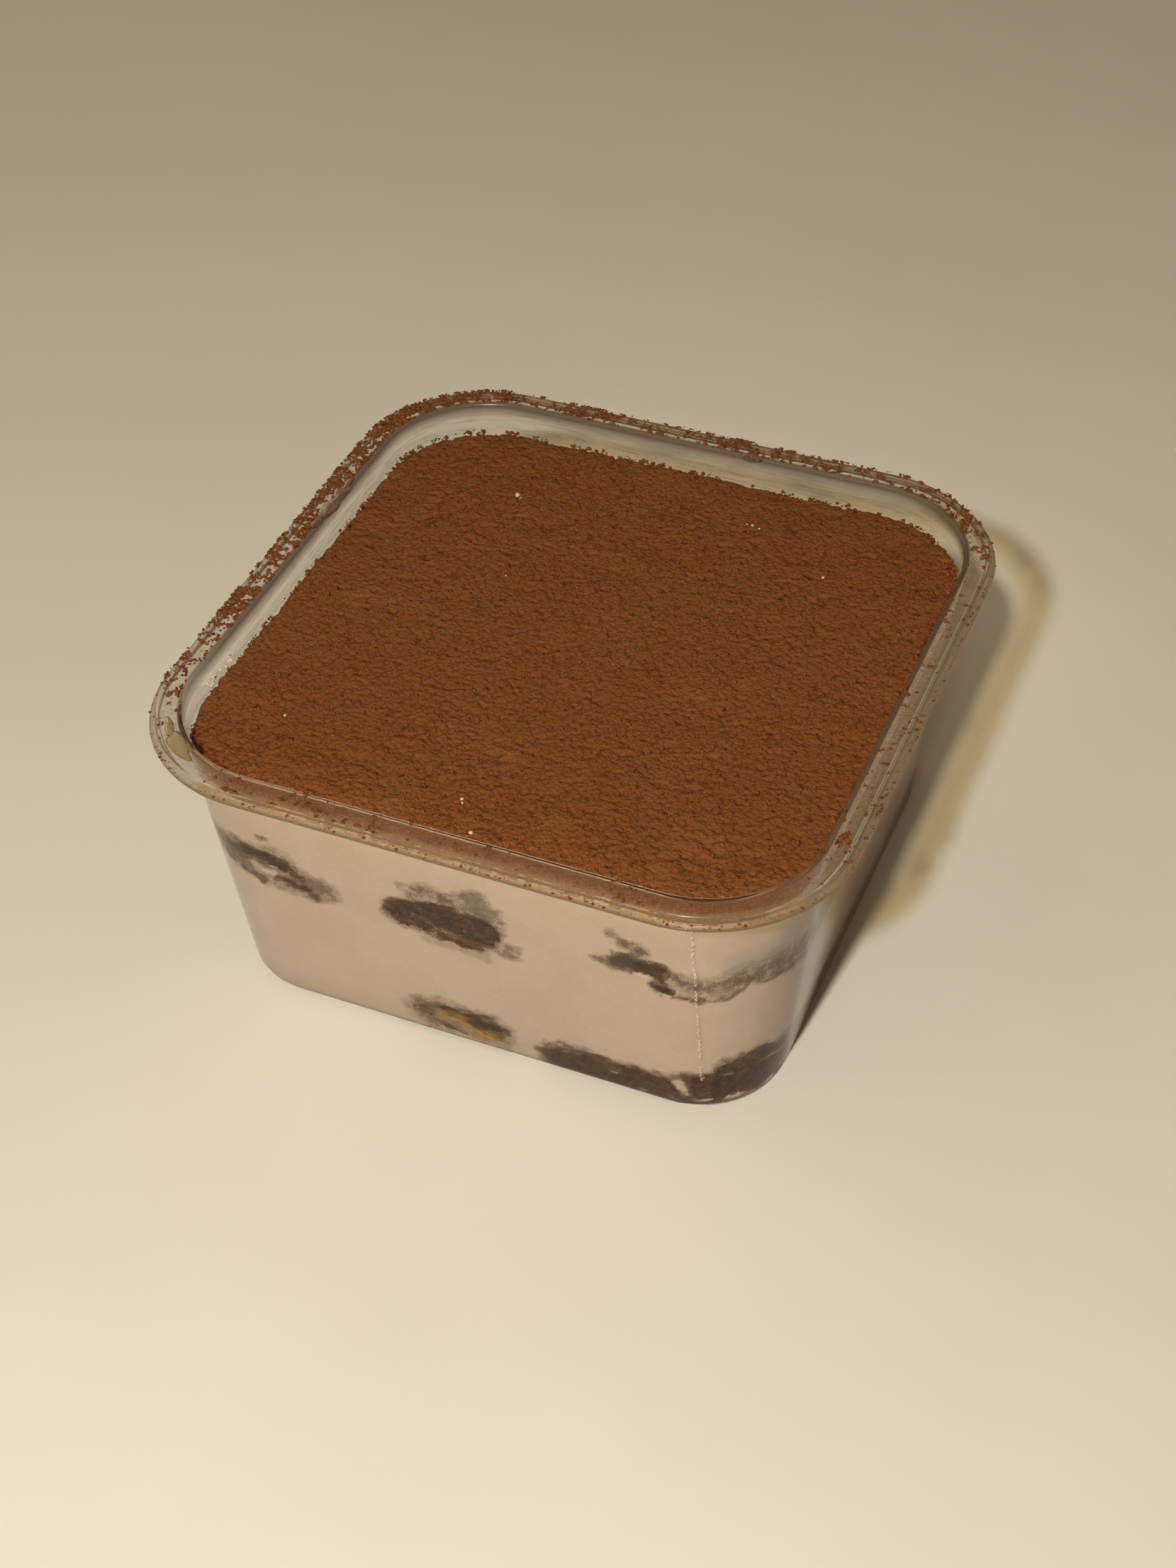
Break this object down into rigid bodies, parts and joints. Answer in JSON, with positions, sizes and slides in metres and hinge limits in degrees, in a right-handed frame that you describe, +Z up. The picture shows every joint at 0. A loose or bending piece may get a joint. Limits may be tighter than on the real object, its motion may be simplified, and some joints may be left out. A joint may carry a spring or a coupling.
{
  "type": "tiramisu in a tub",
  "caption": "Tiramisu in a clear square plastic tub: soaked ladyfingers in coffee cream under a layer of cocoa powder.",
  "frame": {"origin": "middle of the underside of the tub", "axes": "+Z up, -Y the front of the tub, +X its right side"},
  "size_m": [0.118, 0.118, 0.0545],
  "materials": {
    "clear_plastic": "clear, glossy, thin-walled plastic",
    "cream": "smooth, moist, coffee-tinted cream",
    "cocoa": "matte, fine, loose powder",
    "sponge": "soaked, porous sponge biscuit"
  },
  "bodies": {
    "root": {"tub": "clear_plastic", "cream": "cream", "cocoa": "cocoa", "ladyfinger_upper_left": "sponge", "ladyfinger_upper_middle": "sponge", "ladyfinger_upper_right": "sponge", "ladyfinger_lower_middle": "sponge", "ladyfinger_lower_right": "sponge", "ladyfinger_lower_corner": "sponge"}
  },
  "joints": []
}
